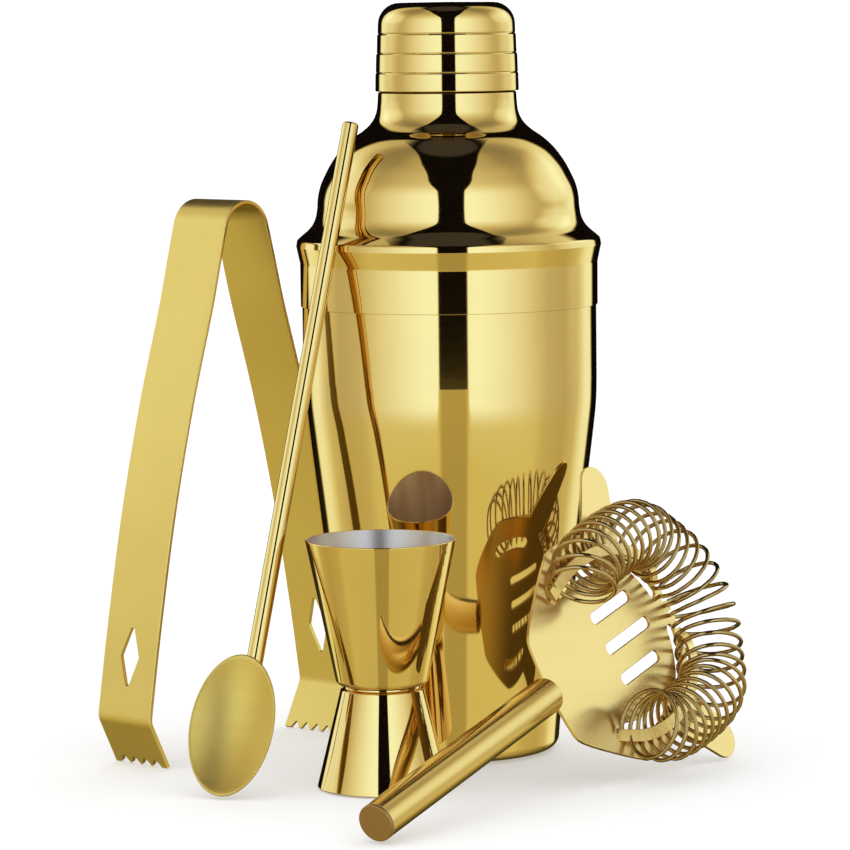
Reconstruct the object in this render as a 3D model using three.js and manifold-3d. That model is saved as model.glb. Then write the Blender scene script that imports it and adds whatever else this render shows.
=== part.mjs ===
// Cocktail shaker set in gold-tone stainless steel: a three-piece cobbler shaker, a double jigger,
// a pair of ice tongs, a bar spoon and a Hawthorne strainer, standing together as a set.
// Units are millimetres and +Z is up. The origin is the centre of the shaker's flat base, which
// stands on z = 0. +Y points to the back of the set and +X to its right.
import * as THREE from 'three';
import { mergeVertices } from 'three/addons/utils/BufferGeometryUtils.js';
import Module from 'manifold-3d';

const wasm = await Module();
wasm.setup();

// ---- driving dimensions -------------------------------------------------------------------------

const SHEET = 0.7;               // wall of every drawn shell
const GAP = 0.3;                 // space left between touching pieces

const SHAKER = {
  baseR: 27,                     // flat part of the base
  heelR: 30.6,                   // where the base corner meets the side
  heelZ: 3.8,
  sideFoot: [31.1, 9.5],         // the straight taper runs from here
  sideR: 41.0,                   // up to here
  sideZ: 93,
  sideBend: [41.65, 99.5],
  bodyR: 42.2,                   // widest part of the tumbler
  bodyZ: 108,                    // the side is upright above this height
  stepZ: 126.6,                  // the mouth steps in here, under the shoulder's skirt
  mouthR: 41.5,
  mouthZ: 142,
  skirtZ: 128,                   // lower edge of the shoulder
  skirtR: 42.65,
  skirtTopZ: 141.8,
  ridgeR: 43.7,
  ridgeZ: 146.2,
  dome: [[40.2, 150.7], [37.7, 155.4], [37.3, 159.9], [34.8, 166.8], [30.2, 174]],
  neckFillet: [[25.4, 178.1], [20.9, 182], [19.85, 185.6]],
  neckR: 19.85,
  neckStepZ: 189.2,              // the neck steps in here, inside the cap
  spoutR: 18.4,
  spoutZ: 204,
  discZ: 186,                    // height of the pierced strainer disc in the neck
  discSheet: 0.9,
  discHoleR: 1.6,
  discHoles: [[0, 1], [6, 6], [12, 12]], // radius of each ring of holes, and how many it has
  capZ: 190.5,                   // lower edge of the cap
  topZ: 215,
  capRings: [195.2, 200.7, 206.3], // heights of the cap's three steps
  capRingR: [20.5, 20.15, 19.8, 19.4],
  capCornerR: 6,
  capCrown: 0.2,                 // rise of the cap's top at its middle
  capRingDip: 0.35,              // height of the slope between two of the cap's steps
};

const JIGGER = {
  x: -20,
  y: -59.7,
  rimR: 20.8,
  rimZ: 68.7,
  cupFootR: 12.95,               // large cup, where its side meets the rounded foot
  cupFootZ: 30.3,
  waistR: 10.9,                  // flat faces where the two cups are joined
  waistZ: 28.3,
  footCurve: [12.3, 28.9],
  smallTopR: 11.4,
  smallTopZ: 27.2,
  baseR: 17.7,
};

const TONGS = {
  x: -65.5,
  y: 3.8,
  turn: 48.5,                    // degrees from +X to the direction in which the arms spread
  width: 20,
  sheet: 1.2,
  bowR: 8.6,                     // centre line of the bow
  bowZ: 150.2,
  splitZ: 131,                   // the arms flex from here
  // centre line of one arm: distance from the middle plane, and height
  arm: [[14.4, 131], [23.2, 101.5], [31, 71], [37.6, 37], [40.8, 14.5]],
  bendR: 1.6,
  clawTip: [34.6, 0.3],
  bowEndAngle: 14,               // the bow's arc starts this many degrees above level
  diamond: { x: 38.6, z: 29.5, height: 18.5, width: 6.2, flat: 1.2 },
  teeth: 5,
  toothDepth: 2.4,
  toothTip: 1,                   // width left at a tooth's tip
  notchTop: 0.9,
};

const SPOON = {
  x: -61.2,                      // where the stem's axis would meet the ground
  y: -73,
  z: -0.87,
  leanRight: 10.6,
  leanBack: 15.1,                // back against the shaker's ridge
  length: 192.2,
  stemR: 2.3,
  stemStart: 37.8,
  stemChamfer: 0.5,
  bowlLength: 39.3,
  bowlWidth: 24,
  bowlDepth: 5,
  bowlSheet: 1,
  bowlFront: 4.1,                // the rim plane stands this far in front of the stem's axis
  bowlSide: -3,                  // and its middle this far to the left of it
  bowlTurn: 0.8,                 // degrees the bowl leans further than the stem
};

const STRAINER = {
  x: 43.56,
  y: -45.41,
  z: 35.31,
  yaw: 56,                       // degrees from +X to the handle's axis, seen from above
  lean: 14.7,                    // the plate end is raised by this angle
  roll: 68.1,
  sheet: 1,
  plateR: 33,
  sideTo: 98,                    // the sides are round up to this angle, then cut straight
  backCorners: [[-14.5, 27.4], [-29.6, 16.3], [-31.4, 11.5]],
  backFlat: 32,
  tabR: 31.2,                    // rim between the two arc slots
  tabAngle: 10,
  arcSlotR: 28.9,
  arcSlotWidth: 3,
  arcSlotFrom: 12,
  arcSlotTo: 47,
  slotWidth: 3.4,
  slots: [[9.5, -1.9, 18.4], [0, -1.9, 21.3], [-9.5, -1.9, 18.4]], // offset, start and end along the axis
  earAngle: 55.6,
  earTipR: 55,
  earR: 5.8,
  tangLength: 15,
  tangWidth: 6.6,
  strapWidth: 3.4,
  handleR: 5.15,
  handleFrom: 33.2,
  handleTo: 118.2,
  endCapFlange: 0.9,
  endCapPlug: 4,                 // how far the end cap reaches into the tube
  endCapChamfer: 0.4,
};

const COIL = {
  wireR: 0.6,
  meanR: 9.3,
  turns: 34,
  stepsPerTurn: 10,
  sides: 5,
  clearance: 0.3,
};

// ---- materials ----------------------------------------------------------------------------------

const polished = new THREE.MeshStandardMaterial({ color: 0xdcb95c, metalness: 1, roughness: 0.1 });
const satin = new THREE.MeshStandardMaterial({ color: 0xd6b456, metalness: 1, roughness: 0.32 });
const wire = new THREE.MeshStandardMaterial({ color: 0xb08a3c, metalness: 1, roughness: 0.28 });

// ---- helpers ------------------------------------------------------------------------------------

const rad = THREE.MathUtils.degToRad;
const v2 = (x, y) => new THREE.Vector2(x, y);
const v3 = (x, y, z) => new THREE.Vector3(x, y, z);

function mesh(name, geometry, material) {
  const result = new THREE.Mesh(geometry, material);
  result.name = name;
  return result;
}

// A body turned about +Z from [radius, height] points, counter-clockwise round its section.
function turned(profile, segments) {
  const points = profile.map(([r, z]) => v2(r, z));
  if (profile[0][0] > 0) {
    points.push(points[0].clone());
  }
  return new THREE.LatheGeometry(points, segments).rotateX(Math.PI / 2);
}

// Points on an arc from angle a0 to a1 in degrees, both ends included.
function arc(cx, cy, radius, a0, a1, steps) {
  const points = [];
  for (let i = 0; i <= steps; i += 1) {
    const a = rad(a0 + (a1 - a0) * i / steps);
    points.push([cx + radius * Math.cos(a), cy + radius * Math.sin(a)]);
  }
  return points;
}

// Samples a smooth curve through [x, y] points.
function smooth(points, steps) {
  const curve = new THREE.SplineCurve(points.map(([x, y]) => v2(x, y)));
  return curve.getPoints(steps).map((p) => [p.x, p.y]);
}

// Moves an open outline sideways by a distance, to its left as it runs.
function offset(points, distance) {
  return points.map((p, i) => {
    const a = points[Math.max(i - 1, 0)];
    const b = points[Math.min(i + 1, points.length - 1)];
    const length = Math.hypot(b[0] - a[0], b[1] - a[1]);
    return [p[0] - distance * (b[1] - a[1]) / length, p[1] + distance * (b[0] - a[0]) / length];
  });
}

function shapeOf(points) {
  return new THREE.Shape(points.map(([x, y]) => v2(x, y)));
}

function extruded(shape, depth, curveSegments = 6) {
  return new THREE.ExtrudeGeometry(shape, { depth, bevelEnabled: false, curveSegments });
}

function solid(geometry) {
  const bare = geometry.clone();
  bare.deleteAttribute('normal');
  bare.deleteAttribute('uv');
  const merged = mergeVertices(bare, 1e-4);
  return new wasm.Manifold(new wasm.Mesh({
    numProp: 3,
    vertProperties: new Float32Array(merged.attributes.position.array),
    triVerts: new Uint32Array(merged.index.array),
  }));
}

function geometryOf(manifold) {
  const result = manifold.getMesh();
  const geometry = new THREE.BufferGeometry();
  geometry.setAttribute('position', new THREE.BufferAttribute(result.vertProperties, 3));
  geometry.setIndex(new THREE.BufferAttribute(result.triVerts, 1));
  geometry.computeVertexNormals();
  return geometry;
}

function cutAll(body, tools) {
  return tools.reduce((left, tool) => left.subtract(tool), body);
}

// ---- shaker -------------------------------------------------------------------------------------

function tumbler() {
  const s = SHAKER;
  const outer = [
    ...arc(s.baseR, s.heelZ, s.heelR - s.baseR, -90, -8, 4),
    s.sideFoot,
    [s.sideR, s.sideZ],
    s.sideBend,
    [s.bodyR, s.bodyZ],
    [s.bodyR, s.stepZ],
    [s.mouthR, s.stepZ + 1],
    [s.mouthR, s.mouthZ],
  ];
  const inner = [
    [s.mouthR - SHEET, s.mouthZ],
    [s.mouthR - SHEET, s.stepZ - 2],
    [s.bodyR - SHEET, s.bodyZ],
    [s.sideR - SHEET, s.sideZ],
    [s.sideFoot[0] - SHEET, s.sideFoot[1]],
    ...arc(s.baseR, s.heelZ, s.heelR - s.baseR - SHEET, -8, -90, 4),
  ];
  return mesh('tumbler', turned([[0, 0], ...outer, ...inner, [0, SHEET]], 40), polished);
}

function shoulder() {
  const s = SHAKER;
  const dome = smooth(s.dome, 7);
  const fillet = smooth(s.neckFillet, 3);
  const outer = [
    [s.skirtR, s.skirtZ],
    [s.skirtR, s.skirtTopZ],
    [s.ridgeR - 0.4, s.ridgeZ - 1.8],
    [s.ridgeR, s.ridgeZ],
    [s.ridgeR - 0.8, s.ridgeZ + 2.4],
    ...dome,
    ...fillet,
    [s.neckR, s.neckStepZ],
    [s.spoutR, s.neckStepZ + 1],
    [s.spoutR, s.spoutZ],
  ];
  const inner = [
    [s.spoutR - SHEET, s.spoutZ],
    [s.spoutR - SHEET, s.neckStepZ + 0.4],
    [s.neckR - SHEET, s.neckStepZ - 0.8],
    ...offset(fillet, SHEET).reverse(),
    ...offset(dome, SHEET).reverse(),
    [s.ridgeR - SHEET - 0.2, s.ridgeZ + 1.2],
    [s.ridgeR - SHEET, s.ridgeZ],
    [s.skirtR - SHEET, s.skirtTopZ + 0.8],
    [s.skirtR - SHEET, s.skirtZ],
  ];
  return mesh('shoulder', turned([...outer, ...inner], 36), polished);
}

// The pierced disc that holds back the ice, pressed into the neck.
function strainerDisc() {
  const s = SHAKER;
  const outline = new THREE.Shape();
  outline.absarc(0, 0, s.neckR - SHEET - GAP, 0, 2 * Math.PI);
  for (const [ring, count] of s.discHoles) {
    for (let i = 0; i < count; i += 1) {
      const a = 2 * Math.PI * i / count;
      const hole = new THREE.Path();
      hole.absarc(ring * Math.cos(a), ring * Math.sin(a), s.discHoleR, 0, 2 * Math.PI, true);
      outline.holes.push(hole);
    }
  }
  const disc = mesh('strainer_disc', extruded(outline, s.discSheet, 5), polished);
  disc.position.z = s.discZ;
  return disc;
}

function cap() {
  const s = SHAKER;
  const steps = [[s.capRingR[0], s.capZ]];
  s.capRings.forEach((z, i) => {
    steps.push([s.capRingR[i] - 0.05, z - s.capRingDip]);
    steps.push([s.capRingR[i + 1], z]);
  });
  const cornerX = s.capRingR[3] - s.capCornerR;
  const cornerZ = s.topZ - s.capCornerR;
  const outer = [...steps, ...arc(cornerX, cornerZ, s.capCornerR, 6, 84, 5), [0, s.topZ + s.capCrown]];
  const inner = [
    [0, s.topZ + s.capCrown - SHEET],
    ...arc(cornerX, cornerZ, s.capCornerR - SHEET, 84, 6, 4),
    [s.capRingR[3] - SHEET, s.capRings[2]],
    [s.capRingR[0] - SHEET - 0.3, s.capZ],
  ];
  return mesh('cap', turned([...inner, ...outer], 36), polished);
}

// ---- double jigger ------------------------------------------------------------------------------

function jigger() {
  const j = JIGGER;
  const low = j.waistZ + GAP / 2;
  const high = j.waistZ - GAP / 2;
  const foot = smooth([[j.waistR, low], j.footCurve, [j.cupFootR, j.cupFootZ]], 4);
  const large = [
    [0, low],
    ...foot,
    [j.rimR, j.rimZ],
    [j.rimR - SHEET, j.rimZ],
    ...offset(foot, SHEET).reverse(),
    [0, low + SHEET],
  ];
  const small = [
    [0, high - SHEET],
    [j.waistR - 0.3, high - SHEET],
    [j.smallTopR - SHEET, j.smallTopZ - 0.3],
    [j.baseR - SHEET, GAP],
    [j.baseR, GAP],
    [j.smallTopR, j.smallTopZ],
    [j.waistR, high],
    [0, high],
  ];
  const group = new THREE.Group();
  group.add(mesh('jigger_large_cup', turned(large, 32), polished));
  group.add(mesh('jigger_small_cup', turned(small, 32), polished));
  group.position.set(j.x, j.y, 0);
  return group;
}

// ---- ice tongs ----------------------------------------------------------------------------------

// The tongs are drawn in a plane of their own: x is the spread, y the height and z the strip's width.
function strip(centreLine) {
  const t = TONGS;
  const left = offset(centreLine, t.sheet / 2);
  const right = offset(centreLine, -t.sheet / 2).reverse();
  return extruded(shapeOf([...right, ...left].reverse()), t.width).translate(0, 0, -t.width / 2);
}

function tongsBow() {
  const t = TONGS;
  const [endX] = t.arm[0];
  const half = arc(0, t.bowZ, t.bowR, t.bowEndAngle, 90, 6);
  const side = [[endX, t.splitZ + GAP], ...half];
  const otherSide = side.slice(0, -1).reverse().map(([x, z]) => [-x, z]);
  return mesh('tongs_bow', strip([...side, ...otherSide]), satin);
}

// A cutter through the strip, with its outline drawn across the strip's width and height.
function punch(x, z, across, outline) {
  const depth = 10 * TONGS.sheet;
  const cutter = extruded(shapeOf(outline), depth).translate(0, 0, -depth / 2).rotateY(Math.PI / 2);
  return solid(cutter.translate(x, z, across));
}

// One arm with its diamond opening and toothed claw. side is +1 or -1.
function tongsArm(name, side) {
  const t = TONGS;
  const limb = smooth(t.arm, 9);
  const [kneeX, kneeZ] = t.arm[t.arm.length - 1];
  const knee = [kneeX + 0.25, kneeZ - t.bendR];
  const centreLine = [...limb, knee, t.clawTip].map(([x, z]) => [side * x, z]);
  let body = solid(strip(centreLine));

  const d = t.diamond;
  const tools = [punch(side * d.x, d.z, 0, [
    [-d.flat / 2, -d.height / 2], [d.flat / 2, -d.height / 2], [d.width / 2, 0],
    [d.flat / 2, d.height / 2], [-d.flat / 2, d.height / 2], [-d.width / 2, 0],
  ])];

  const pitch = t.width / t.teeth;
  const mouth = (pitch - t.toothTip) / 2;
  for (let i = 1; i < t.teeth; i += 1) {
    tools.push(punch(side * t.clawTip[0], t.clawTip[1], pitch * i - t.width / 2, [
      [-mouth, -2 * t.toothDepth], [mouth, -2 * t.toothDepth],
      [mouth, 0], [t.notchTop / 2, t.toothDepth], [-t.notchTop / 2, t.toothDepth], [-mouth, 0],
    ]));
  }
  body = cutAll(body, tools);
  return mesh(name, geometryOf(body), satin);
}

function tongs() {
  const t = TONGS;
  const group = new THREE.Group();
  group.add(tongsBow());
  group.add(tongsArm('tongs_arm_left', -1));
  group.add(tongsArm('tongs_arm_right', 1));
  group.rotation.set(Math.PI / 2, 0, rad(t.turn), 'ZYX');
  group.position.set(t.x, t.y, 0);
  return group;
}

// ---- bar spoon ----------------------------------------------------------------------------------

function spoon() {
  const s = SPOON;
  const half = s.bowlLength / 2;
  const sag = (r) => -s.bowlDepth * (1 - (r / half) ** 2);
  const radii = [0, 0.3, 0.55, 0.78, 0.92, 1].map((k) => k * half);
  const back = radii.map((r) => [r, sag(r) - s.bowlSheet / 2]);
  const front = radii.map((r) => [Math.max(r - 0.1, 0), sag(r) + s.bowlSheet / 2]);
  const bowl = mesh('spoon_bowl', turned([...back, ...front.reverse()], 28), satin);
  bowl.scale.set(s.bowlWidth / s.bowlLength, 1, 1);
  bowl.rotation.set(Math.PI / 2, rad(s.bowlTurn), 0, 'YXZ');
  bowl.position.set(s.bowlSide, -s.bowlFront, half);

  const r = s.stemR;
  const c = s.stemChamfer;
  const stem = mesh('spoon_stem', turned([
    [0, s.stemStart], [r - c, s.stemStart], [r, s.stemStart + c],
    [r, s.length - c], [r - c, s.length], [0, s.length],
  ], 14), satin);

  const group = new THREE.Group();
  group.add(bowl, stem);
  group.rotation.set(rad(-s.leanBack), rad(s.leanRight), 0, 'YXZ');
  group.position.set(s.x, s.y, s.z);
  return group;
}

// ---- Hawthorne strainer -------------------------------------------------------------------------

// The middle line of the spring: half of it, mirrored about the handle's axis. x runs along the
// axis away from the handle, y across the plate and z out of its face.
const COIL_HALF = [
  [36.2, 9, 6.4], [30.6, 18.4, 7.1], [25, 24.2, 8.6], [17.5, 26.2, 10.4],
  [5, 26.2, 10.4], [-6, 24.3, 10.6], [-13, 19.7, 10.9],
];
const COIL_FRONT = [39.4, 0, 6];

// The strap that the spring is threaded on, from the plate's rim to its root beside the handle.
const STRAP = [
  [27.5, 15.8, 0], [25.6, 18.2, 1], [22, 20.8, 3.4], [16, 23.6, 5.2], [8.5, 25.4, 5.8],
  [1, 26, 5.4], [-5, 25.6, 4.4], [-10.5, 23.4, 2], [-14, 20.9, 0], [-15.6, 19.6, 0],
];

class Helix extends THREE.Curve {
  constructor(path, radius, turns) {
    super();
    this.path = path;
    this.radius = radius;
    this.turns = turns;
  }

  getPoint(t) {
    const centre = this.path.getPointAt(t);
    const along = this.path.getTangentAt(t);
    const across = v3(0, 0, 1).cross(along).normalize();
    const up = along.clone().cross(across);
    const a = 2 * Math.PI * this.turns * t;
    return centre
      .addScaledVector(across, this.radius * Math.cos(a))
      .addScaledVector(up, this.radius * Math.sin(a));
  }

  // The turns are evenly spaced along the path, so the parameter needs no correction.
  getPointAt(t) {
    return this.getPoint(t);
  }

  getTangentAt(t) {
    return this.getTangent(t);
  }
}

function coilGeometry(wireR, sides) {
  const left = COIL_HALF.map(([x, y, z]) => v3(x, y, z)).reverse();
  const right = COIL_HALF.map(([x, y, z]) => v3(x, -y, z));
  const path = new THREE.CatmullRomCurve3([...left, v3(...COIL_FRONT), ...right]);
  const section = new THREE.Shape(arc(0, 0, wireR, 0, 360 * (sides - 1) / sides, sides - 1)
    .map(([x, y]) => v2(x, y)));
  return new THREE.ExtrudeGeometry(section, {
    steps: COIL.turns * COIL.stepsPerTurn,
    extrudePath: new Helix(path, COIL.meanR, COIL.turns),
  });
}

function roundSlot(x0, x1, y, width) {
  const r = width / 2;
  return new THREE.Path([
    ...arc(x0 + r, y, r, 270, 90, 3), ...arc(x1 - r, y, r, 90, -90, 4),
  ].map(([x, z]) => v2(x, z)));
}

function arcSlot(side) {
  const s = STRAINER;
  const inner = arc(0, 0, s.arcSlotR - s.arcSlotWidth / 2, side * s.arcSlotFrom, side * s.arcSlotTo, 6);
  const outer = arc(0, 0, s.arcSlotR + s.arcSlotWidth / 2, side * s.arcSlotTo, side * s.arcSlotFrom, 6);
  return new THREE.Path([...inner, ...outer].map(([x, y]) => v2(x, y)));
}

function plate() {
  const s = STRAINER;
  const back = [...s.backCorners, [-s.backFlat, s.tangWidth / 2]];
  back.push([-s.backFlat - s.tangLength, s.tangWidth / 2]);
  const earHalf = THREE.MathUtils.radToDeg(Math.asin(s.earR / s.plateR));
  const rim = [];
  const ear = (side) => {
    const a = rad(side * s.earAngle);
    const r = s.earTipR - s.earR;
    return arc(r * Math.cos(a), r * Math.sin(a), s.earR, side * s.earAngle - 90, side * s.earAngle + 90, 7);
  };
  rim.push(...arc(0, 0, s.tabR, -s.tabAngle, s.tabAngle, 3));
  rim.push(...arc(0, 0, s.plateR, s.tabAngle + 2, s.earAngle - earHalf, 6));
  rim.push(...ear(1));
  rim.push(...arc(0, 0, s.plateR, s.earAngle + earHalf, s.sideTo, 5));
  rim.push(...back, ...back.map(([x, y]) => [x, -y]).reverse());
  rim.push(...arc(0, 0, s.plateR, -s.sideTo, -s.earAngle - earHalf, 5));
  rim.push(...ear(-1));
  rim.push(...arc(0, 0, s.plateR, -s.earAngle + earHalf, -s.tabAngle - 2, 6));
  const outline = shapeOf(rim);
  for (const [y, x0, x1] of s.slots) {
    outline.holes.push(roundSlot(x0, x1, y, s.slotWidth));
  }
  outline.holes.push(arcSlot(1), arcSlot(-1));
  let body = solid(extruded(outline, s.sheet, 6).translate(0, 0, -s.sheet / 2));

  const section = shapeOf([
    [-s.sheet / 2, -s.strapWidth / 2], [s.sheet / 2, -s.strapWidth / 2],
    [s.sheet / 2, s.strapWidth / 2], [-s.sheet / 2, s.strapWidth / 2],
  ]);
  for (const side of [1, -1]) {
    const path = new THREE.CatmullRomCurve3(STRAP.map(([x, y, z]) => v3(x, side * y, z)));
    body = body.add(solid(new THREE.ExtrudeGeometry(section, { steps: 14, extrudePath: path })));
  }
  const channel = solid(coilGeometry(COIL.wireR + COIL.clearance, COIL.sides));
  body = body.subtract(channel);
  return mesh('strainer_plate', geometryOf(body), satin);
}

function strainer() {
  const s = STRAINER;
  const group = new THREE.Group();
  group.add(plate());
  group.add(mesh('coil_spring', coilGeometry(COIL.wireR, COIL.sides), wire));

  const bore = s.handleR - SHEET;
  const tubeLength = s.handleTo - s.handleFrom - s.endCapFlange - GAP;
  const tube = mesh('strainer_handle', turned([
    [bore, 0], [s.handleR, 0], [s.handleR, tubeLength], [bore, tubeLength],
  ], 24), satin);
  tube.rotation.y = -Math.PI / 2;
  tube.position.x = -s.handleFrom;

  const flange = s.endCapPlug + GAP;
  const end = flange + s.endCapFlange;
  const endCap = mesh('strainer_handle_cap', turned([
    [0, 0], [bore - GAP, 0], [bore - GAP, flange], [s.handleR, flange],
    [s.handleR, end - s.endCapChamfer], [s.handleR - s.endCapChamfer, end], [0, end],
  ], 24), satin);
  endCap.rotation.y = -Math.PI / 2;
  endCap.position.x = -(s.handleTo - end);
  group.add(tube, endCap);

  group.rotation.set(rad(s.roll), rad(-s.lean), rad(s.yaw), 'ZYX');
  group.position.set(s.x, s.y, s.z);
  return group;
}

// ---- the set ------------------------------------------------------------------------------------

const set = new THREE.Group();
set.add(tumbler(), shoulder(), strainerDisc(), cap());
set.add(jigger(), tongs(), spoon(), strainer());

export default set;
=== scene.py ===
import math

import bmesh
import bpy
from mathutils import Euler, Matrix, Quaternion, Vector


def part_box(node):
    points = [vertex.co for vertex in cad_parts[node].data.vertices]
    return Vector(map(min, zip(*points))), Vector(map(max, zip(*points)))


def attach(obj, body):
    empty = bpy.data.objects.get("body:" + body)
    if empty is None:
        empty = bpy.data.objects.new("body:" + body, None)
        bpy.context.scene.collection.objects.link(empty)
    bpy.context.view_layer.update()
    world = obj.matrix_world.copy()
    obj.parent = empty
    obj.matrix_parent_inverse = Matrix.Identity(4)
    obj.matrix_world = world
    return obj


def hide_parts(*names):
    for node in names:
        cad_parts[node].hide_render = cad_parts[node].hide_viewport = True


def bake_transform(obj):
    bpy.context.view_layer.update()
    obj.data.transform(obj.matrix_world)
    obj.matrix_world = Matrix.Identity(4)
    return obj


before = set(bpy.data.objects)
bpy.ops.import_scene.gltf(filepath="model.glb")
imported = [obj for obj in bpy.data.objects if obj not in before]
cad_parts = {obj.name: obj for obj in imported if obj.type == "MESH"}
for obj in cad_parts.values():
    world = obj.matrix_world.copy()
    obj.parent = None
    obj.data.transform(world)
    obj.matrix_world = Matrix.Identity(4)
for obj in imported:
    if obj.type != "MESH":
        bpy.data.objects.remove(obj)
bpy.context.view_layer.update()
scene = bpy.context.scene

MM = 0.001
SEGMENTS = 160          # round a turned piece
SHEET = 0.7             # wall of the drawn shells
SHARP = 38              # edges that turn by more degrees than this are shaded sharp

# ---- camera: the height, pitch, turn and roll of the product photograph ---------------------------

CAMERA_PLACE = (0, -1178.45, 210.8)
CAMERA_PITCH = 5.662
CAMERA_TURN = 0.357
CAMERA_ROLL = -0.624
CAMERA_LENS = 174.06


def add_camera():
    camera = bpy.data.objects.new("camera", bpy.data.cameras.new("camera"))
    scene.collection.objects.link(camera)
    camera.data.lens = CAMERA_LENS
    camera.data.clip_start = 0.01
    camera.data.clip_end = 50
    level = Euler((math.radians(90 - CAMERA_PITCH), 0, math.radians(CAMERA_TURN)))
    roll = Quaternion((0, 0, 1), math.radians(CAMERA_ROLL))
    camera.rotation_mode = "QUATERNION"
    camera.rotation_quaternion = level.to_quaternion() @ roll
    camera.location = Vector(CAMERA_PLACE) * MM
    scene.camera = camera


# ---- outlines -------------------------------------------------------------------------------------


def arc(cx, cy, radius, start, end, steps):
    """Points on an arc between two angles in degrees, both ends included."""
    angles = [math.radians(start + (end - start) * i / steps) for i in range(steps + 1)]
    return [Vector((cx + radius * math.cos(a), cy + radius * math.sin(a))) for a in angles]


def rounded(corners, steps=6):
    """An outline through [x, y, radius] corners, each rounded by an arc of its radius."""
    outline = []
    last = len(corners) - 1
    for i, (x, y, radius) in enumerate(corners):
        here = Vector((x, y))
        if radius == 0 or i in (0, last):
            outline.append(here)
            continue
        back = (Vector(corners[i - 1][:2]) - here).normalized()
        ahead = (Vector(corners[i + 1][:2]) - here).normalized()
        half = back.angle(ahead) / 2
        centre = here + (back + ahead).normalized() * radius / math.sin(half)
        reach = radius / math.tan(half)
        start = here + back * reach - centre
        end = here + ahead * reach - centre
        a0 = math.atan2(start.y, start.x)
        sweep = (math.atan2(end.y, end.x) - a0 + math.pi) % (2 * math.pi) - math.pi
        for k in range(steps + 1):
            a = a0 + sweep * k / steps
            outline.append(centre + Vector((math.cos(a), math.sin(a))) * radius)
    return outline


def rounded_loop(corners, steps=6):
    """The same for a closed outline."""
    return rounded([corners[-1], *corners, corners[0]], steps)[1:-1]


def smooth(points, steps):
    """A smooth curve through the points, with that many steps between each two of them."""
    given = [Vector(p) for p in points]
    given = [2 * given[0] - given[1], *given, 2 * given[-1] - given[-2]]
    curve = []
    for p0, p1, p2, p3 in zip(given, given[1:], given[2:], given[3:]):
        t1 = (p1 - p0).length ** 0.5
        t2 = t1 + (p2 - p1).length ** 0.5
        t3 = t2 + (p3 - p2).length ** 0.5
        for i in range(steps):
            t = t1 + (t2 - t1) * i / steps
            a1 = p0.lerp(p1, t / t1)
            a2 = p1.lerp(p2, (t - t1) / (t2 - t1))
            a3 = p2.lerp(p3, (t - t2) / (t3 - t2))
            b1 = a1.lerp(a2, t / t2)
            b2 = a2.lerp(a3, (t - t1) / (t3 - t1))
            curve.append(b1.lerp(b2, (t - t1) / (t2 - t1)))
    curve.append(given[-2])
    return curve


def heading(points, i):
    """The way a path runs at its point i, not of unit length."""
    return points[min(i + 1, len(points) - 1)] - points[max(i - 1, 0)]


def offset(points, distance):
    """An open outline moved sideways, to its left as it runs."""
    moved = []
    for i, p in enumerate(points):
        along = heading(points, i)
        moved.append(p + Vector((-along.y, along.x)).normalized() * distance)
    return moved


def evenly(points, step):
    """An open path, resampled with about that spacing."""
    lengths = [0]
    for a, b in zip(points, points[1:]):
        lengths.append(lengths[-1] + (b - a).length)
    count = max(1, round(lengths[-1] / step))
    result = []
    k = 0
    for i in range(count + 1):
        want = lengths[-1] * i / count
        while k < len(points) - 2 and lengths[k + 1] < want:
            k += 1
        share = (want - lengths[k]) / (lengths[k + 1] - lengths[k])
        result.append(points[k].lerp(points[k + 1], share))
    return result


# ---- meshes ---------------------------------------------------------------------------------------


def shade(mesh, sharp):
    """Smooth shading, apart from the edges that turn by more than sharp degrees."""
    for polygon in mesh.polygons:
        polygon.use_smooth = True
    mesh.set_sharp_from_angle(angle=math.radians(sharp))


def weigh_normals(piece):
    """Lets the large faces lead the shading beside narrow rounded edges."""
    normals = piece.modifiers.new("normals", "WEIGHTED_NORMAL")
    normals.keep_sharp = True


def evaluated_mesh(thing):
    """A new mesh of an object as its modifiers, or its curve's settings, make it."""
    bpy.context.view_layer.update()
    graph = bpy.context.evaluated_depsgraph_get()
    return bpy.data.meshes.new_from_object(thing.evaluated_get(graph))


def object_from(bm, name, materials, place=Matrix(), sharp=SHARP):
    """Turns a bmesh in metres into a shaded object, with place's turn worked into its mesh."""
    bm.transform(place.to_3x3().to_4x4())
    bmesh.ops.recalc_face_normals(bm, faces=bm.faces)
    mesh = bpy.data.meshes.new(name)
    bm.to_mesh(mesh)
    bm.free()
    shade(mesh, sharp)
    for material in materials:
        mesh.materials.append(material)
    piece = bpy.data.objects.new(name, mesh)
    scene.collection.objects.link(piece)
    piece.location = place.translation
    weigh_normals(piece)
    return piece


def turned(name, parts, materials, place=Matrix(), segments=SEGMENTS, stretch=1.0, sharp=SHARP):
    """A piece turned about its own Z axis. parts are runs of (radius, height) points, one for each
    material, which follow each other counter-clockwise round the section. stretch squeezes X."""
    outline = [(p, index) for index, run in enumerate(parts) for p in run]
    bm = bmesh.new()
    rings = []
    for (radius, height), _ in outline:
        turns = segments if radius > 1e-4 else 1
        angles = [2 * math.pi * k / segments for k in range(turns)]
        rings.append([
            bm.verts.new((
                radius * math.cos(a) * stretch * MM,
                radius * math.sin(a) * MM,
                height * MM,
            ))
            for a in angles
        ])
    pairs = list(zip(rings, rings[1:]))
    if len(rings[0]) > 1:
        pairs.append((rings[-1], rings[0]))
    for (low, high), (_, index) in zip(pairs, outline):
        if len(low) == len(high) == 1:
            continue
        for k in range(segments):
            corners = (
                low[k % len(low)],
                low[(k + 1) % len(low)],
                high[(k + 1) % len(high)],
                high[k % len(high)],
            )
            face = bm.faces.new(list(dict.fromkeys(corners)))
            face.material_index = index
    return object_from(bm, name, materials, place, sharp)


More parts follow.
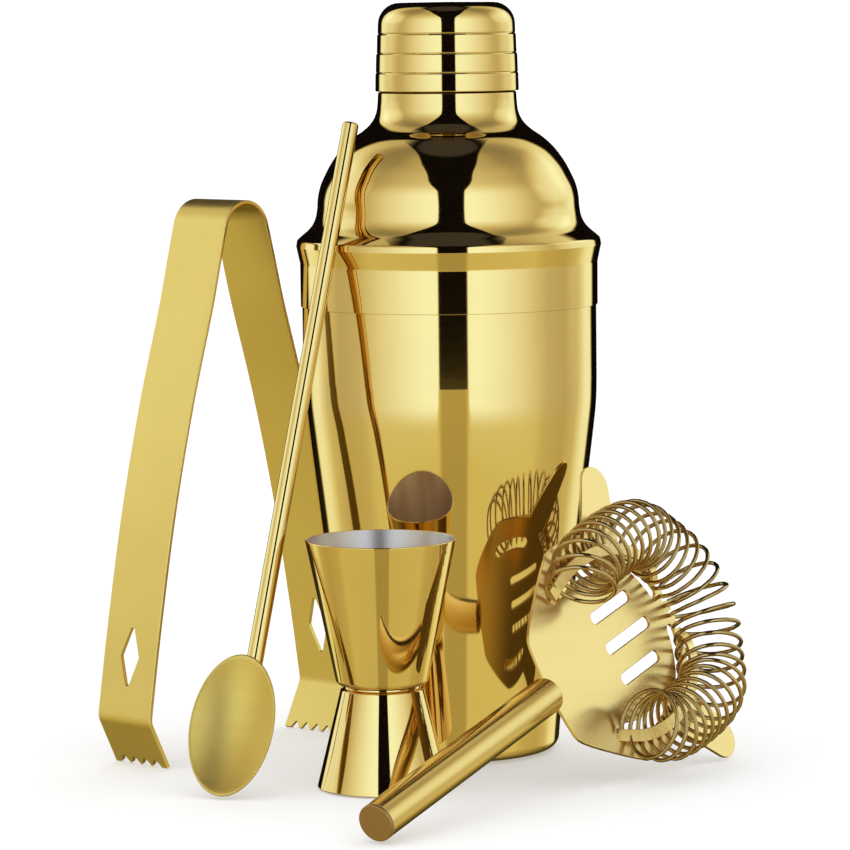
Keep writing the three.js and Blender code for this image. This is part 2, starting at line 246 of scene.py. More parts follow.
def swept(name, stations, section, materials, place=Matrix(), sharp=SHARP):
    """A bar with closed ends. stations are (centre, across, up, scale), and section is a closed loop
    of (across, up) points."""
    bm = bmesh.new()
    rings = []
    for centre, across, up, scale in stations:
        ring = []
        for a, b in section:
            ring.append(bm.verts.new((centre + (across * a + up * b) * scale) * MM))
        rings.append(ring)
    count = len(section)
    for low, high in zip(rings, rings[1:]):
        for k in range(count):
            bm.faces.new((low[k], low[(k + 1) % count], high[(k + 1) % count], high[k]))
    bm.faces.new(rings[0][::-1])
    bm.faces.new(rings[-1])
    return object_from(bm, name, materials, place, sharp)


def prism(outline, depth):
    """A bmesh of a closed (x, y) outline, extruded evenly to both sides of z = 0."""
    bm = bmesh.new()
    low = [bm.verts.new((x * MM, y * MM, -depth / 2 * MM)) for x, y in outline]
    high = [bm.verts.new((x * MM, y * MM, depth / 2 * MM)) for x, y in outline]
    count = len(outline)
    for k in range(count):
        bm.faces.new((low[k], low[(k + 1) % count], high[(k + 1) % count], high[k]))
    bm.faces.new(low[::-1])
    bm.faces.new(high)
    bmesh.ops.recalc_face_normals(bm, faces=bm.faces)
    return bm


def cut(piece, cutters, place):
    """Subtracts bmesh cutters, which are in the frame of place, and applies the result."""
    tools = []
    for bm in cutters:
        bm.transform(place.to_3x3().to_4x4())
        mesh = bpy.data.meshes.new("cutter")
        bm.to_mesh(mesh)
        bm.free()
        tool = bpy.data.objects.new("cutter", mesh)
        scene.collection.objects.link(tool)
        tool.location = piece.location
        step = piece.modifiers.new("cut", "BOOLEAN")
        step.operation = "DIFFERENCE"
        step.solver = "EXACT"
        step.object = tool
        tools.append(tool)
    piece.modifiers.remove(piece.modifiers.get("normals"))
    mesh = evaluated_mesh(piece)
    piece.modifiers.clear()
    piece.data = mesh
    for tool in tools:
        bpy.data.objects.remove(tool)
    shade(mesh, SHARP)
    weigh_normals(piece)


def sheet_metal(name, outline, holes, thickness, edge, material, place):
    """A flat punched sheet whose edges are rounded to the radius edge, and whose faces are shaded flat."""
    data = bpy.data.curves.new(name, "CURVE")
    data.dimensions = "2D"
    data.fill_mode = "BOTH"
    for loop in (outline, *holes):
        spline = data.splines.new("POLY")
        spline.points.add(len(loop) - 1)
        for point, (x, y) in zip(spline.points, loop):
            point.co = (x * MM, y * MM, 0, 1)
        spline.use_cyclic_u = True
    data.extrude = (thickness / 2 - edge) * MM
    data.bevel_depth = edge * MM
    data.bevel_resolution = 1
    data.offset = -edge * MM
    blank = bpy.data.objects.new(name + "_curve", data)
    scene.collection.objects.link(blank)
    mesh = evaluated_mesh(blank)
    bpy.data.objects.remove(blank)
    bm = bmesh.new()
    bm.from_mesh(mesh)
    bmesh.ops.remove_doubles(bm, verts=bm.verts, dist=1e-6)
    piece = object_from(bm, name, [material], place)
    face_up = place.to_3x3() @ Vector((0, 0, 1))
    for polygon in piece.data.polygons:
        polygon.use_smooth = abs(polygon.normal.dot(face_up)) < 0.999
    return piece


def wire_along(name, points, radius, sides, material, place):
    """A round wire through the points, with closed ends that narrow a little."""
    section = arc(0, 0, radius, 0, 360 * (sides - 1) / sides, sides - 1)
    stations = []
    across = None
    for i, p in enumerate(points):
        along = heading(points, i).normalized()
        if across is None:
            across = along.orthogonal()
        across = (across - along * across.dot(along)).normalized()
        scale = 0.6 if i in (0, len(points) - 1) else 1.0
        stations.append((p, across, along.cross(across), scale))
    return swept(name, stations, section, [material], place, sharp=80)


# ---- materials ------------------------------------------------------------------------------------


class Nodes:
    """A short way to write a node tree."""

    def __init__(self, tree):
        self.tree = tree

    def add(self, kind, settings=None, **inputs):
        node = self.tree.nodes.new(kind)
        for key, value in (settings or {}).items():
            setattr(node, key, value)
        for key, value in inputs.items():
            self.set(node, key.replace("_", " "), value)
        return node

    def set(self, node, key, value):
        socket = node.inputs[int(key)] if str(key).isdigit() else node.inputs[key]
        if isinstance(value, bpy.types.NodeSocket):
            self.tree.links.new(value, socket)
        else:
            socket.default_value = value

    def maths(self, operation, *values):
        node = self.add("ShaderNodeMath", {"operation": operation})
        for index, value in enumerate(values):
            self.set(node, index, value)
        return node.outputs[0]

    def step(self, value, low, high, to_low=0.0, to_high=1.0):
        """A smooth step from to_low, where value is low, to to_high, where it is high."""
        node = self.add("ShaderNodeMapRange", {"interpolation_type": "SMOOTHSTEP"}, Value=value)
        self.set(node, "From Min", low)
        self.set(node, "From Max", high)
        self.set(node, "To Min", to_low)
        self.set(node, "To Max", to_high)
        return node.outputs[0]

    def mix(self, share, first, second):
        """A colour between two others."""
        node = self.add("ShaderNodeMix", {"data_type": "RGBA"})
        for index, value in ((0, share), (6, first), (7, second)):
            self.set(node, index, value)
        return node.outputs[2]

    def vector_maths(self, operation, first, second):
        node = self.add("ShaderNodeVectorMath", {"operation": operation})
        self.set(node, 0, first)
        self.set(node, 1, second)
        return node.outputs[0]

    def ramp(self, value, stops):
        """Colours by value, from (position, colour) stops."""
        node = self.add("ShaderNodeValToRGB", Fac=value)
        elements = node.color_ramp.elements
        while len(elements) < len(stops):
            elements.new(0.5)
        for element, (position, color) in zip(elements, stops):
            element.position = position
            element.color = (*color, 1)
        return node.outputs[0]


LINES_ALONG = 12                 # detail of the tool lines along their run, per metre
CLOUD_SCALE = 45.0               # size of the uneven patches, per metre
CLOUD_SHADE = 0.97               # how dark the darker patches are
LINE_DEPTH = 0.00005


def metal(name, color, roughness, lines, across, bump, mottle=0.02, edge_tint=(1.0, 0.95, 0.8),
          metallic=1.0):
    """Metal with fine tool lines. lines sets how fine they are, per metre, across is the direction
    that lies across them, and mottle is how far the roughness strays in patches."""
    material = bpy.data.materials.new(name)
    material.use_nodes = True
    nodes = Nodes(material.node_tree)
    surface = material.node_tree.nodes["Principled BSDF"]
    coordinates = nodes.add("ShaderNodeTexCoord").outputs["Object"]
    onto_z = Vector(across).rotation_difference(Vector((0, 0, 1))).to_euler()
    turn = nodes.add("ShaderNodeMapping", Vector=coordinates, Rotation=onto_z)
    stretch = nodes.add("ShaderNodeMapping", Vector=turn.outputs[0], Scale=(LINES_ALONG, LINES_ALONG, lines))
    grain = nodes.add("ShaderNodeTexNoise", Vector=stretch.outputs[0], Scale=1.0, Detail=4.0)
    cloud = nodes.add("ShaderNodeTexNoise", Vector=coordinates, Scale=CLOUD_SCALE, Detail=3.0)
    spread = nodes.maths("MULTIPLY_ADD", grain.outputs[0], roughness * 0.5, roughness * 0.75)
    uneven = nodes.maths("MULTIPLY_ADD", cloud.outputs[0], mottle * 2, -mottle)
    nodes.set(surface, "Roughness", nodes.maths("ADD", spread, uneven))
    patches = nodes.step(cloud.outputs[0], 0.3, 0.7)
    darker = (*[c * CLOUD_SHADE for c in color], 1)
    nodes.set(surface, "Base Color", nodes.mix(patches, darker, (*color, 1)))
    nodes.set(surface, "Metallic", metallic)
    nodes.set(surface, "Specular Tint", (*edge_tint, 1))
    relief = nodes.add("ShaderNodeBump", Height=grain.outputs[0], Strength=bump, Distance=LINE_DEPTH)
    nodes.set(surface, "Normal", relief.outputs[0])
    return material


GOLD = (0.80, 0.56, 0.26)
UP = (0, 0, 1)
STRIP = (-0.749, 0.663, 0)              # across the tongs' strip

polished = metal("polished_gold", GOLD, 0.045, 2600, UP, 0.006, mottle=0.004)
body_gold = metal("drawn_gold", GOLD, 0.05, 3000, UP, 0.012, mottle=0.004)
satin = metal("satin_gold", (0.86, 0.62, 0.235), 0.33, 900, STRIP, 0.03)
bowl_gold = metal("bowl_gold", (0.75, 0.52, 0.165), 0.47, 900, UP, 0.02)
plate_gold = metal("plate_gold", (0.88, 0.63, 0.30), 0.25, 1100, STRIP, 0.03)
rod_gold = metal("rod_gold", GOLD, 0.09, 1500, (1, 0, 0), 0.02, mottle=0.01)
handle_gold = metal("handle_gold", (0.80, 0.56, 0.25), 0.17, 1500, (0, 1, 0), 0.012, mottle=0.02)
spring_gold = metal("spring_gold", (0.50, 0.335, 0.18), 0.12, 1500, UP, 0.05)
disc_gold = metal("disc_gold", (0.44, 0.25, 0.125), 0.4, 1500, UP, 0.05)
steel = metal(
    "brushed_steel", (0.58, 0.50, 0.53), 0.3, 2200, UP, 0.4, edge_tint=(1, 1, 1), metallic=0.75
)


# ---- cobbler shaker -------------------------------------------------------------------------------

BASE_FLAT = 25.5                 # radius of the flat part of the base
HEEL = (27, 3.8)                 # middle of the arc between the base and the side
HEEL_RADIUS = 3.6
DISC_HOLE = 1.6                  # radius of a hole in the pierced disc
DISC_RINGS = ((6, 6), (12, 12))  # radius of each ring of holes, and how many it has
CAP_STEPS = (195.2, 200.7, 206.3)
CAP_RADII = (20.14, 19.8, 19.48)
CAP_BOTTOM = 189.9


def tumbler():
    wall = smooth([(31.1, 9.5), (37.75, 66), (41.05, 92), (41.97, 100.5), (42.2, 107.5)], 8)
    heel = arc(*HEEL, HEEL_RADIUS, -90, -8, 8)
    outer = [Vector((0, 0)), Vector((BASE_FLAT, 0)), *heel, *wall]
    outer += rounded([(42.2, 108.0, 0), (42.2, 130.0, 0.3), (41.5, 130.8, 0.3), (41.5, 142, 0.3),
                      (40.8, 142, 0.3), (40.8, 141, 0)], 3)
    inner = [Vector((40.8, 140.5)), Vector((40.8, 130.9)), Vector((41.5, 128.4)), Vector((41.5, 108))]
    inner += [Vector((r - SHEET, z)) for r, z in reversed(wall[:-1])]
    inner += arc(*HEEL, HEEL_RADIUS - SHEET, -8, -90, 8)
    inner += [Vector((BASE_FLAT, 0.9)), Vector((0, 0.9))]
    piece = turned("tumbler_shell", [outer, inner], [body_gold, steel])
    finish_piece(piece, "tumbler", "tumbler")


def shoulder():
    skirt = rounded([(42.3, 128.7, 0), (42.62, 128.75, 0.15), (42.66, 141.0, 3), (43.72, 145.9, 0.5),
                     (43.45, 147.7, 1.2), (42.2, 148.8, 0)], 6)
    flare = smooth([(41.6, 149.3), (40.2, 150.5), (38.9, 152.1), (38.0, 154.2), (37.55, 156.8)], 5)
    dome = smooth([(37.5, 157.5), (37.35, 159.6), (36.6, 163), (35.0, 166.6), (33.1, 170),
                   (30.3, 173.7), (27.2, 176.6), (23.9, 178.9), (21.6, 181.2), (20.3, 184),
                   (19.9, 187)], 5)
    spout = rounded([(19.85, 188, 0), (19.8, 189.4, 0.3), (18.4, 190.4, 0.4), (18.4, 204, 0.3),
                     (17.7, 204, 0.3), (17.7, 203, 0)], 3)
    inner = [Vector((17.7, 202.5)), Vector((17.7, 190.2)), Vector((19.17, 188.4))]
    inner += offset(dome, SHEET)[::-1]
    inner += offset(flare, SHEET)[::-1]
    inner += offset(skirt, SHEET)[::-1][:-9]
    inner += [Vector((41.96, 141)), Vector((41.96, 131.0)), Vector((42.27, 130.2))]
    piece = turned("strainer_top_shell", [skirt + flare + dome + spout, inner], [polished, steel])
    finish_piece(piece, "strainer_top", "shoulder")


def strainer_disc():
    low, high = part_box("strainer_disc")
    radius = high.x / MM
    holes = [arc(0, 0, DISC_HOLE, 0, 345, 23)]
    for ring, count in DISC_RINGS:
        for k in range(count):
            a = 2 * math.pi * k / count
            holes.append(arc(ring * math.cos(a), ring * math.sin(a), DISC_HOLE, 0, 345, 23))
    middle = Matrix.Translation((0, 0, (low.z + high.z) / 2))
    thickness = (high.z - low.z) / MM
    piece = sheet_metal(
        "pierced_disc", arc(0, 0, radius, 0, 357, 119), holes, thickness, 0.12, steel, middle
    )
    finish_piece(piece, "strainer_top", "strainer_disc")


def cap():
    corners = [(19.95, CAP_BOTTOM, 0), (20.52, CAP_BOTTOM, 0.3), (20.42, CAP_STEPS[0] - 0.35, 0.12)]
    for z, radius in zip(CAP_STEPS, CAP_RADII):
        corners.append((radius, z - 0.02, 0.12))
        corners.append((radius + 0.17, z + 0.3, 0.12))
        if z != CAP_STEPS[-1]:
            corners.append((radius + 0.02, z + 5.15, 0.12))
    corners += [(19.42, 215.0, 6.2), (0, 215.2, 0)]
    outer = rounded(corners, 8)
    inner = rounded([(0, 214.5, 0), (18.7, 214.3, 5.5), (19.0, 206, 0), (19.4, 190.8, 0.3),
                     (19.95, 190.6, 0.2), (19.95, CAP_BOTTOM + 0.1, 0)], 8)
    piece = turned("cap_shell", [outer, inner], [polished, steel])
    finish_piece(piece, "cap", "cap")


# ---- double jigger --------------------------------------------------------------------------------

JIGGER_MOVE = 0.5                # to the right of the CAD's, to match the photograph


def jigger():
    low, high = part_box("jigger_large_cup")
    place = Matrix.Translation(((low.x + high.x) / 2 + JIGGER_MOVE * MM, (low.y + high.y) / 2, 0))
    side = rounded([(0, 28.5, 0), (12.6, 28.5, 1.7), (20.8, 68.7, 0.25), (20.45, 68.7, 0.1)], 8)
    inside = rounded([(20.3, 68.6, 0), (20.1, 67.5, 0.5), (12.0, 29.25, 1.3), (0, 29.25, 0)], 8)
    large = turned("large_cup", [side, inside], [polished, steel], place)
    finish_piece(large, "jigger", "jigger_large_cup")

    inside = rounded([(0, 26.9, 0), (10.5, 26.9, 0.8), (17.4, 1.1, 0)], 5)
    side = rounded([(17.5, 0.8, 0), (17.6, 0.1, 0.25), (18.2, 0.1, 0.28), (11.5, 27.2, 0.5),
                    (10.6, 27.7, 0.3), (10.6, 28.2, 0.1), (0, 28.2, 0)], 5)
    small = turned("small_cup", [inside, side], [steel, polished], place)
    finish_piece(small, "jigger", "jigger_small_cup")


# ---- ice tongs ------------------------------------------------------------------------------------

TONGS_TURN = 48.5                # degrees from +X to the direction in which the arms spread
TONGS_SHEET = 1.2
TONGS_WIDTH = 21
TONGS_TEETH = 5
TONGS_BOW = (150.2, 8.6)         # height and radius of the bow's middle line
TONGS_ARM = [(10.9, 143), (14.4, 130), (23.2, 101.5), (31, 71), (37.8, 37), (41.2, 17.2)]
TONGS_KNEE = (41.75, 13.6, 4.0)
TONGS_TIP = (34.9, 0.15)
DIAMOND_AT = (38.6, 31.3)        # distance from the middle plane, and height
DIAMOND = [(0, -9.9, 0.9), (3.7, 0, 1.2), (0, 9.9, 0.9), (-3.7, 0, 1.2)]
NOTCH = [(-1.9, -4, 0.01), (1.9, -4, 0.01), (1.75, 0.1, 0.5), (0.3, 2.0, 0.25), (-0.3, 2.0, 0.25),
         (-1.75, 0.1, 0.5)]
CUTTER = 12                      # depth of the cutters, enough to pass through the strip


def tongs_half(name, side, node):
    low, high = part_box("tongs_bow")
    place = (
        Matrix.Translation(((low.x + high.x) / 2, (low.y + high.y) / 2, 0))
        @ Matrix.Rotation(math.radians(TONGS_TURN), 4, "Z")
    )
    bow_z, bow_r = TONGS_BOW
    limb = smooth([*[tuple(p) for p in arc(0, bow_z, bow_r, 40, 12, 3)], *TONGS_ARM], 12)
    line = arc(0, bow_z, bow_r, 90, 42, 16) + limb
    knee = rounded([(*line[-1], 0), TONGS_KNEE, (*TONGS_TIP, 0)], 8)
    line = evenly(line, 0.8)[:-1] + knee[:-1] + evenly([knee[-2], knee[-1]], 1.0)[1:]
    stations = []
    for i, p in enumerate(line):
        along = heading(line, i)
        if i == 0:
            along = Vector((1, 0))
        normal = Vector((-along.y, along.x)).normalized()
        stations.append((
            Vector((side * p.x, 0, p.y)), Vector((0, 1, 0)), Vector((side * normal.x, 0, normal.y)), 1.0
        ))
    half, t, r = TONGS_WIDTH / 2, TONGS_SHEET / 2, 0.35
    section = rounded_loop([(-half, -t, r), (half, -t, r), (half, t, r), (-half, t, r)], 4)
    piece = swept(name, stations, section, [satin], place)

    upright = Matrix(((0, 0, 1), (1, 0, 0), (0, 1, 0))).to_4x4()
    opening = prism(rounded_loop(DIAMOND, 5), CUTTER)
    opening.transform(Matrix.Translation((side * DIAMOND_AT[0] * MM, 0, DIAMOND_AT[1] * MM)) @ upright)
    cutters = [opening]
    pitch = TONGS_WIDTH / TONGS_TEETH
    for k in range(1, TONGS_TEETH):
        notch = prism(rounded_loop(NOTCH, 4), CUTTER)
        middle = Vector((side * TONGS_TIP[0], pitch * k - half, TONGS_TIP[1])) * MM
        notch.transform(Matrix.Translation(middle) @ upright)
        cutters.append(notch)
    cut(piece, cutters, place)
    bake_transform(piece)
    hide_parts(node, "tongs_bow")


# ---- bar spoon ------------------------------------------------------------------------------------

SPOON_FOOT = (-61.2, -73, -0.87)
SPOON_RIGHT = 10.6
SPOON_BACK = 15.1
BOWL = {"length": 39.3, "width": 24, "depth": 4.0, "sheet": 0.75, "flare": 0.5,
        "front": -4.1, "side": -3, "turn": 0.8, "face": -17}
STEM_RADIUS = 2.3
# distance along the stem, way back from its axis, and share of its radius
STEM_RUN = [(26, 1.35, 0.2), (27, 1.4, 0.36), (29, 1.35, 0.56), (32, 1.05, 0.8), (35, 0.5, 0.95),
            (38.5, 0.1, 1), (45, 0, 1), (90, 0, 1), (140, 0, 1), (191.5, 0, 1), (192, 0, 0.93),
            (192.2, 0, 0.8)]


def spoon():
    place = (
        Matrix.Translation(Vector(SPOON_FOOT) * MM)
        @ Matrix.Rotation(math.radians(SPOON_RIGHT), 4, "Y")
        @ Matrix.Rotation(math.radians(-SPOON_BACK), 4, "X")
    )
    half = BOWL["length"] / 2

    def sag(r):
        share = r / (half - BOWL["flare"])
        return -BOWL["depth"] * (1 - share**2) if share < 1 else 0

    radii = [half * (1 - (1 - k / 22) ** 1.3) for k in range(22)]
    back = [Vector((r, sag(r) - BOWL["sheet"] / 2)) for r in radii]
    rim = arc(half - 0.38, 0.0, 0.38, -60, 100, 6)
    front = [Vector((max(r - 0.25, 0), sag(r) + BOWL["sheet"] / 2)) for r in radii]
    local = (
        Matrix.Translation(Vector((BOWL["side"], BOWL["front"], half)) * MM)
        @ Matrix.Rotation(math.radians(BOWL["turn"]), 4, "Y")
        @ Matrix.Rotation(math.radians(BOWL["face"]), 4, "Z")
        @ Matrix.Rotation(math.pi / 2, 4, "X")
    )
    bowl = turned("spoon_bowl_dish", [back + rim + front[::-1]], [bowl_gold], place @ local,
                  stretch=BOWL["width"] / BOWL["length"], sharp=70)
    finish_piece(bowl, "spoon", "spoon_bowl")

    side, back = Vector((1, 0, 0)), Vector((0, 1, 0))
    stations = [(Vector((0, y, z)), side, back, scale) for z, y, scale in STEM_RUN]
    section = arc(0, 0, STEM_RADIUS, 0, 355, 71)
    stem = swept("spoon_rod", stations, section, [rod_gold], place, sharp=60)
    finish_piece(stem, "spoon", "spoon_stem")


# ---- Hawthorne strainer ---------------------------------------------------------------------------

STRAINER_PLACE = (43.56, -45.41, 35.31)
STRAINER_YAW = 56                # degrees from +X to the handle's axis, seen from above
STRAINER_LEAN = 14.7
STRAINER_ROLL = 68.1
PLATE = {"radius": 33, "back": -32, "sheet": 1.0, "ear_angle": 56.2, "ear_tip": 54.2, "ear_radius": 5.5}
NOTCHES = (-6.4, -2.1, 2.1, 6.4)  # across the front rim, where turns of the spring pass through
BACK_CORNERS = [(-7, 32.1), (-14.5, 27.4), (-28.6, 17.2), (-30.6, 14.6), (-31.5, 10)]
SLOTS = [(0, -1.9, 21.3), (9.5, -1.9, 18.4), (-9.5, -1.9, 18.4)]  # offset, start and end
SLOT_WIDTH = 3.4
ARC_HOLES = [(28.9, 3.0, 12, 47), (23.4, 4.4, 70, 112)]   # radius, width, and two angles

# Half of each path, mirrored about the handle's axis: x runs away from the handle, y across the
# plate and z out of its face.
COIL_HALF = [(36.2, 10, 6.3), (29.9, 18, 7.1), (24.2, 23.2, 8.6), (16.8, 25.4, 10.2),
             (4.6, 26.1, 10.5), (-6.6, 24.8, 10.9), (-13.8, 20.3, 11.1)]
COIL_FRONT = (38.8, 0, 6)
COIL_RADIUS = 9.3
COIL_TURNS = 32
COIL_SPREAD = 0.12                # by how much the turns lie further apart at the front
COIL_WIRE = 0.6
STRAP = [(31.2, 7.4, -0.2), (31.2, 9.6, 1.4), (29.6, 13, 3), (25.6, 17.4, 4.2), (19.5, 21.3, 5.2),
         (13, 24, 5.7), (6, 25.7, 5.7), (-1, 26, 5.2), (-6.5, 25.2, 4.2), (-10.8, 23.2, 2.2),
         (-14, 20.9, 0.3), (-15.2, 19.9, -0.1)]
HANDLE = {"radius": 5.15, "from": 33.2, "to": 118.2, "lip": 0.9}


def strainer_place():
    return (
        Matrix.Translation(Vector(STRAINER_PLACE) * MM)
        @ Matrix.Rotation(math.radians(STRAINER_YAW), 4, "Z")
        @ Matrix.Rotation(math.radians(-STRAINER_LEAN), 4, "Y")
        @ Matrix.Rotation(math.radians(STRAINER_ROLL), 4, "X")
    )


def plate_outline():
    big, ear_r = PLATE["radius"], PLATE["ear_radius"]
    reach = PLATE["ear_tip"] - ear_r
    half_ear = math.degrees(math.asin(ear_r / big))
    half = []                                   # from the front to the back, on the +Y side
    for y in (v for v in NOTCHES if v > 0):
        x = math.sqrt(big**2 - y**2)
        half += [(x, y - 0.7), (x - 1.9, y - 0.45), (x - 2.2, y), (x - 1.9, y + 0.45), (x, y + 0.7)]
    half += [tuple(p) for p in arc(0, 0, big, 15, PLATE["ear_angle"] - half_ear - 4, 10)]
    a = math.radians(PLATE["ear_angle"])
    centre = (reach * math.cos(a), reach * math.sin(a))
    half += [tuple(p) for p in arc(*centre, ear_r, PLATE["ear_angle"] - 84, PLATE["ear_angle"] + 84, 18)]
    half += [tuple(p) for p in arc(0, 0, big, PLATE["ear_angle"] + half_ear + 4, 98, 14)]
    half += [tuple(p) for p in smooth(BACK_CORNERS, 4)]
    half += [(PLATE["back"], 5.2), (PLATE["back"] - 1.2, 4.0), (PLATE["back"] - 12, 4.0)]
    return [(x, -y) for x, y in half[::-1]] + half


def slot_hole(y, x0, x1, width):
    r = width / 2
    return arc(x0 + r, y, r, 270, 90, 10) + arc(x1 - r, y, r, 90, -90, 10)


def arc_hole(radius, width, start, end):
    r = width / 2
    outer = arc(0, 0, radius + r, start, end, 16)
    inner = arc(0, 0, radius - r, end, start, 16)
    turn = 180 if end > start else -180
    tip = math.radians(end)
    far = arc(radius * math.cos(tip), radius * math.sin(tip), r, end, end + turn, 6)
    tip = math.radians(start)
    near = arc(radius * math.cos(tip), radius * math.sin(tip), r, start + turn, start + 2 * turn, 6)
    return outer + far[1:-1] + inner + near[1:-1]


def strap(name, side, place):
    path = smooth([(x, side * y, z) for x, y, z in STRAP], 8)
    up_axis = Vector((0, 0, 1))
    stations = []
    for i, p in enumerate(path):
        along = heading(path, i).normalized()
        across = up_axis.cross(along).normalized()
        stations.append((p, across, along.cross(across), 1.0))
    w, t, r = 1.75, 0.45, 0.2
    section = rounded_loop([(-w, -t, r), (w, -t, r), (w, t, r), (-w, t, r)], 3)
    piece = swept(name, stations, section, [plate_gold], place)
    finish_piece(piece, "hawthorne_strainer", "strainer_plate")


def coil_points():
    left = [(x, -y, z) for x, y, z in COIL_HALF[::-1]]
    path = evenly(smooth([*left, COIL_FRONT, *COIL_HALF], 24), 0.25)
    steps = COIL_TURNS * 28
    points = []
    for i in range(steps + 1):
        share = i / steps
        spread = share - COIL_SPREAD * math.sin(2 * math.pi * share) / (2 * math.pi)
        at = spread * (len(path) - 1)
        k = min(int(at), len(path) - 2)
        centre = path[k].lerp(path[k + 1], at - k)
        along = (path[min(k + 12, len(path) - 1)] - path[max(k - 11, 0)]).normalized()
        across = Vector((0, 0, 1)).cross(along).normalized()
        up = along.cross(across)
        a = 2 * math.pi * COIL_TURNS * share - math.pi / 2
        points.append(centre + across * COIL_RADIUS * math.cos(a) + up * COIL_RADIUS * math.sin(a))
    return points


def strainer():
    place = strainer_place()
    holes = [slot_hole(y, x0, x1, SLOT_WIDTH) for y, x0, x1 in SLOTS]
    for side in (1, -1):
        for radius, width, start, end in ARC_HOLES:
            holes.append(arc_hole(radius, width, side * start, side * end))
    plate = sheet_metal("pierced_plate", plate_outline(), holes, PLATE["sheet"], 0.15, plate_gold, place)
    finish_piece(plate, "hawthorne_strainer", "strainer_plate")
    strap("strap_upper", 1, place)
    strap("strap_lower", -1, place)
    coil = wire_along("wound_spring", coil_points(), COIL_WIRE, 10, spring_gold, place)
    finish_piece(coil, "hawthorne_strainer", "coil_spring")

    away = Matrix.Rotation(-math.pi / 2, 4, "Y")
    radius, start, end = HANDLE["radius"], HANDLE["from"], HANDLE["to"]
    length = end - start - HANDLE["lip"] - 0.1
    tube = rounded([(0, 0.6, 0), (radius - 1.6, 0.6, 0.8), (radius - 0.5, -0.6, 0.6),
                    (radius, 0.4, 1.2), (radius, length, 0.12), (radius - SHEET, length, 0.1),
                    (radius - SHEET, length - 3, 0), (0, length - 3, 0)], 5)
    along = Matrix.Translation((-start * MM, 0, 0)) @ away
    handle = turned("handle_tube", [tube], [handle_gold], place @ along, segments=96)
    finish_piece(handle, "hawthorne_strainer", "strainer_handle")

    lip = HANDLE["lip"]
    disc = rounded([(0, 0.05, 0), (radius - 0.05, 0.05, 0.1), (radius, lip, 0.35), (0, lip, 0)], 5)
    at_end = Matrix.Translation((-(end - lip) * MM, 0, 0)) @ away
    button = turned("handle_end", [disc], [disc_gold], place @ at_end, segments=96)
    finish_piece(button, "hawthorne_strainer", "strainer_handle_cap")


def finish_piece(piece, body, node):
    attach(piece, body)
    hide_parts(node)


# ---- studio ---------------------------------------------------------------------------------------

STUDIO_TURN = 2.75               # degrees by which the light panels are turned from the camera


def add_floor():
    bm = bmesh.new()
    bmesh.ops.create_grid(bm, x_segments=1, y_segments=1, size=6)
    bm.transform(Matrix.Translation((0, 0, -0.0003)))
    material = bpy.data.materials.new("pale_floor")
    material.use_nodes = True
    nodes = Nodes(material.node_tree)
    surface = material.node_tree.nodes["Principled BSDF"]
    nodes.set(surface, "Base Color", (0.62, 0.62, 0.62, 1))
    nodes.set(surface, "Emission Color", (1, 1, 1, 1))
    nodes.set(surface, "Emission Strength", 0.36)
    nodes.set(surface, "Roughness", 0.9)
    nodes.set(surface, "Specular IOR Level", 0.0)
    floor = object_from(bm, "floor", [material])
    floor.visible_glossy = False


# The light's colour by its level: warm and dim to bluish and brighter than white. A ramp holds
# no more than 1, so the colours are divided by LIGHT_TOP in it and multiplied after it.
LIGHT = [
    (0.0, (0.004, 0.003, 0.003)), (0.35, (0.62, 0.60, 0.35)), (0.52, (0.86, 0.92, 0.61)),
    (0.66, (1.04, 1.22, 1.04)), (0.8, (1.19, 1.53, 1.49)), (1.0, (1.3, 1.7, 1.73)),
]
LIGHT_TOP = 3.0
# Level of the panels, from the camera's side of the studio (0) round to its far side (1).
PANELS = [
    (0.0, 0.80), (0.1, 0.83), (0.2, 0.74), (0.33, 0.58), (0.44, 0.40), (0.55, 0.355),
    (0.64, 0.44), (0.72, 0.72), (0.78, 0.70), (0.81, 0.0),
]
LAMP = (0.894, -0.290, 0.342)    # the way to a brighter spot: sideways, to the camera and up
GROUND_LEAST = 0.05
GROUND_TINT = (1.0, 0.95, 0.62)
CEILING = 0.05
ROOM_WHITE = (1.18, 1.18, 1.18, 1)


def light_color(nodes, level):
    stops = [(at, [c / LIGHT_TOP for c in color]) for at, color in LIGHT]
    table = nodes.ramp(level, stops)
    scale = nodes.add("ShaderNodeVectorMath", {"operation": "SCALE"}, Vector=table, Scale=LIGHT_TOP)
    return scale.outputs[0]


def upper_light(nodes, panels, side, front, up, azimuth, height):
    """Two tall panels with a dark gap between them, a spot on each, and a dark ceiling."""
    fade = nodes.step(height, 18.0, 60.0, 1.0, 0.52)
    toward_lamp = nodes.maths("MULTIPLY", side, LAMP[0])
    toward_lamp = nodes.maths("MULTIPLY_ADD", front, LAMP[1], toward_lamp)
    toward_lamp = nodes.maths("MULTIPLY_ADD", up, LAMP[2], toward_lamp)
    lamp = nodes.step(toward_lamp, 0.89, 1.0, 0.0, 0.3)
    glow = nodes.maths("MULTIPLY_ADD", panels, fade, lamp)
    not_behind = nodes.step(azimuth, 0.79, 0.815, 1.0, 0.0)
    glow = nodes.maths("MULTIPLY", glow, not_behind)

    gap = nodes.step(up, 0.5, 0.92, 0.182, 0.32)
    past_gap = nodes.step(nodes.maths("SUBTRACT", side, gap), 0.0, 0.022)
    far_side = nodes.step(front, -0.05, 0.0, 1.0, 0.0)
    below_top = nodes.step(up, 0.86, 0.95, 1.0, 0.0)
    lit = nodes.maths("MAXIMUM", past_gap, nodes.maths("MULTIPLY", far_side, below_top))
    ceiling = nodes.maths("MULTIPLY", nodes.step(up, 0.945, 0.97), CEILING)
    glow = nodes.maths("MULTIPLY", glow, lit)
    return nodes.vector_maths("ADD", light_color(nodes, glow), ceiling)


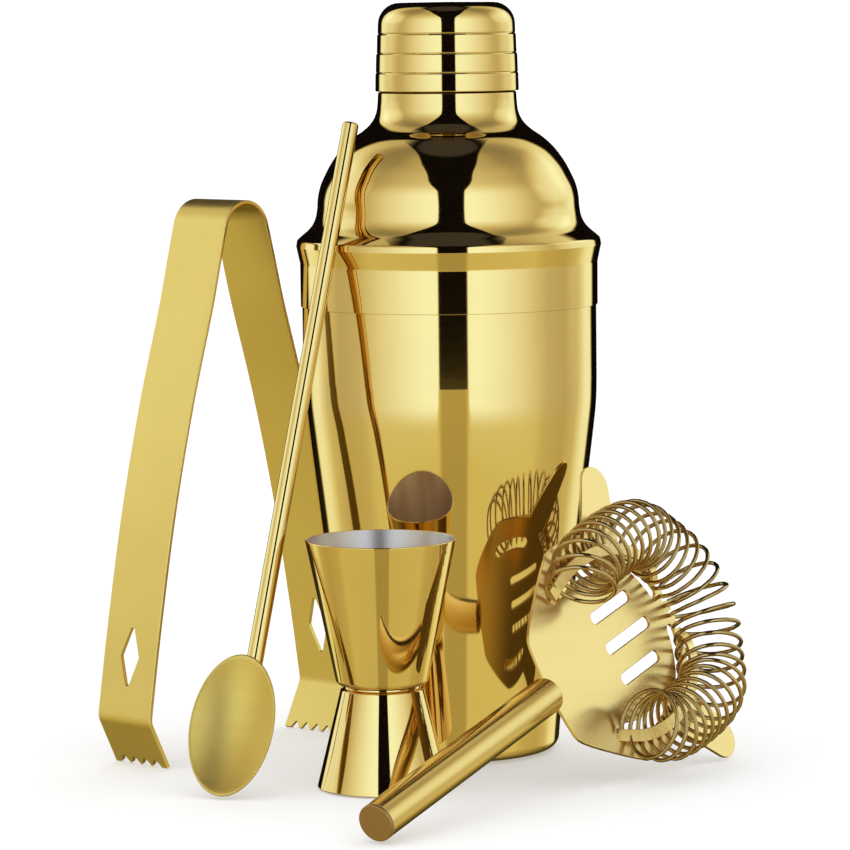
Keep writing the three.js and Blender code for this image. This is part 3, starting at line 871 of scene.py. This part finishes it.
def ground_light(nodes, panels, side, azimuth, height):
    """What the tools mirror from below: the table, which takes on the panels' light."""
    level = nodes.maths("MINIMUM", panels, nodes.step(azimuth, 0.6, 0.68, 0.5, 0.62))
    level = nodes.maths("MULTIPLY", level, nodes.step(side, 0.15, 0.21, 0.62, 1.0))
    level = nodes.maths("MULTIPLY", level, nodes.step(height, -45.0, -12.0, 0.75, 1.0))
    far_side = nodes.step(azimuth, 0.5, 0.75)
    away = nodes.maths("MULTIPLY", far_side, nodes.step(height, -30.0, -15.0, 0.8, 0.0))
    level = nodes.maths("MULTIPLY", level, nodes.maths("SUBTRACT", 1.0, away))
    level = nodes.maths("MAXIMUM", level, GROUND_LEAST)
    return nodes.vector_maths("MULTIPLY", light_color(nodes, level), GROUND_TINT)


def add_studio():
    """The studio as a world. Only mirror reflections see its panels and its ground. Everything else,
    the camera too, sees an even white room."""
    world = bpy.data.worlds.new("studio")
    world.use_nodes = True
    scene.world = world
    nodes = Nodes(world.node_tree)
    background = world.node_tree.nodes["Background"]
    direction = nodes.add("ShaderNodeTexCoord").outputs["Generated"]
    turn = nodes.add("ShaderNodeMapping", {"vector_type": "POINT"}, Vector=direction,
                     Rotation=(0, 0, math.radians(-STUDIO_TURN)))
    axes = nodes.add("ShaderNodeSeparateXYZ", Vector=turn.outputs[0]).outputs
    side = nodes.maths("ABSOLUTE", axes[0])
    front = nodes.maths("MULTIPLY", axes[1], -1.0)
    up = axes[2]
    azimuth = nodes.maths("DIVIDE", nodes.maths("ARCTAN2", side, front), math.pi)
    height = nodes.maths("DEGREES", nodes.maths("ARCSINE", up))
    panels = nodes.ramp(azimuth, [(at, (level, level, level)) for at, level in PANELS])

    # The ground meets the panels softly, and lower down beside the gap than in it.
    beside = nodes.step(side, 0.19, 0.225)
    ground_top = nodes.maths("MULTIPLY_ADD", beside, -16.2, -5.8)
    panels_foot = nodes.maths("MULTIPLY_ADD", beside, -1.8, -5.2)
    above = nodes.step(height, ground_top, panels_foot)
    ground = ground_light(nodes, panels, side, azimuth, height)
    upper = upper_light(nodes, panels, side, front, up, azimuth, height)
    mirrored = nodes.mix(above, ground, upper)

    glossy = nodes.add("ShaderNodeLightPath").outputs["Is Glossy Ray"]
    nodes.set(background, "Color", nodes.mix(glossy, ROOM_WHITE, mirrored))
    scene.view_settings.view_transform = "Standard"


add_camera()
tumbler()
shoulder()
strainer_disc()
cap()
jigger()
tongs_half("tongs_left_half", -1, "tongs_arm_left")
tongs_half("tongs_right_half", 1, "tongs_arm_right")
spoon()
strainer()
add_floor()
add_studio()
